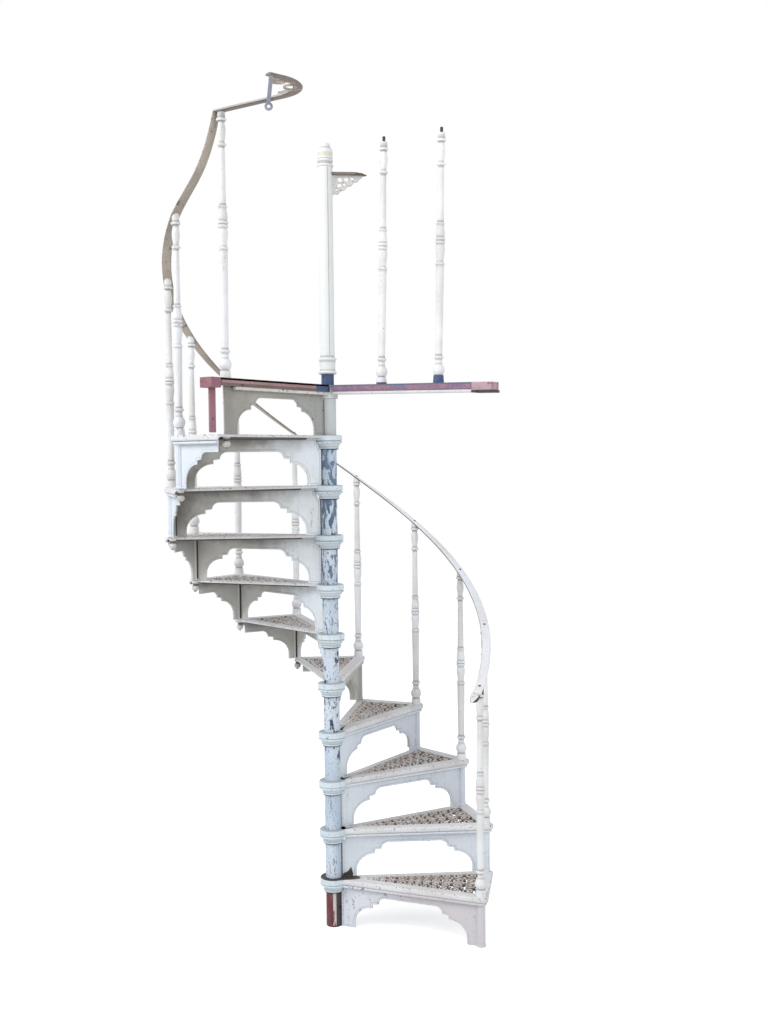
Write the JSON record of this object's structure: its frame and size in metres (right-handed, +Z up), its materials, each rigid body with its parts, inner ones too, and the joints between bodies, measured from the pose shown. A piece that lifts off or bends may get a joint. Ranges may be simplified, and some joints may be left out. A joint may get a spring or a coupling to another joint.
{
  "type": "spiral staircase",
  "caption": "Victorian cast-iron spiral stair on one newel pole, with pierced treads, arched risers, turned balusters and a flat iron handrail.",
  "frame": {"origin": "centre of the newel foot, at floor level", "axes": "+Z up along the newel; the top riser and landing edge run along -Y and the landing curb along +X; steps climb counterclockwise seen from above"},
  "size_m": [1.4537, 1.5281, 3.237],
  "materials": {
    "tread_paint": "white paint worn to grey brown, rust in the corners",
    "worn_grille": "trodden openwork, paint remains and rust",
    "riser_paint": "old white paint, chipped and rust stained",
    "baluster_paint": "old cream white paint",
    "landing_baluster_paint": "white paint with a navy foot",
    "navy_paint": "old dark blue paint",
    "sleeve_paint": "white paint flaking to dark blue and red oxide",
    "shaft_paint": "cream white paint",
    "landing_paint": "dark brown, navy and red oxide paint",
    "red_oxide": "faded red oxide with blue on top",
    "rail_paint": "white paint turning to taupe towards the top",
    "brown_rail": "worn brown iron",
    "grey_iron": "dull grey iron",
    "bracket_paint": "white openwork under a brown strip"
  },
  "bodies": {
    "root": {"newel_pole": "navy_paint", "newel_sleeves": "sleeve_paint", "newel_shaft": "shaft_paint", "newel_cap": "shaft_paint", "tread_01": "tread_paint", "tread_02": "tread_paint", "tread_03": "tread_paint", "tread_04": "tread_paint", "tread_05": "tread_paint", "tread_06": "tread_paint", "tread_07": "tread_paint", "tread_08": "tread_paint", "tread_09": "tread_paint", "tread_10": "tread_paint", "tread_grilles": "worn_grille", "riser_01": "riser_paint", "riser_02": "riser_paint", "riser_03": "riser_paint", "riser_04": "riser_paint", "riser_05": "riser_paint", "riser_06": "riser_paint", "riser_07": "riser_paint", "riser_08": "riser_paint", "riser_09": "riser_paint", "riser_10": "riser_paint", "riser_11": "riser_paint", "acorn_nuts": "riser_paint", "baluster_01": "baluster_paint", "baluster_02": "baluster_paint", "baluster_03": "baluster_paint", "baluster_04": "baluster_paint", "baluster_05": "baluster_paint", "baluster_06": "baluster_paint", "baluster_07": "baluster_paint", "baluster_08": "baluster_paint", "baluster_09": "baluster_paint", "baluster_10": "baluster_paint", "baluster_11": "baluster_paint", "landing_balusters": "landing_baluster_paint", "landing_nosing": "landing_paint", "landing_curb": "red_oxide", "handrail": "rail_paint", "landing_rail": "brown_rail", "rail_brace": "grey_iron", "newel_bracket": "bracket_paint"}
  },
  "joints": []
}
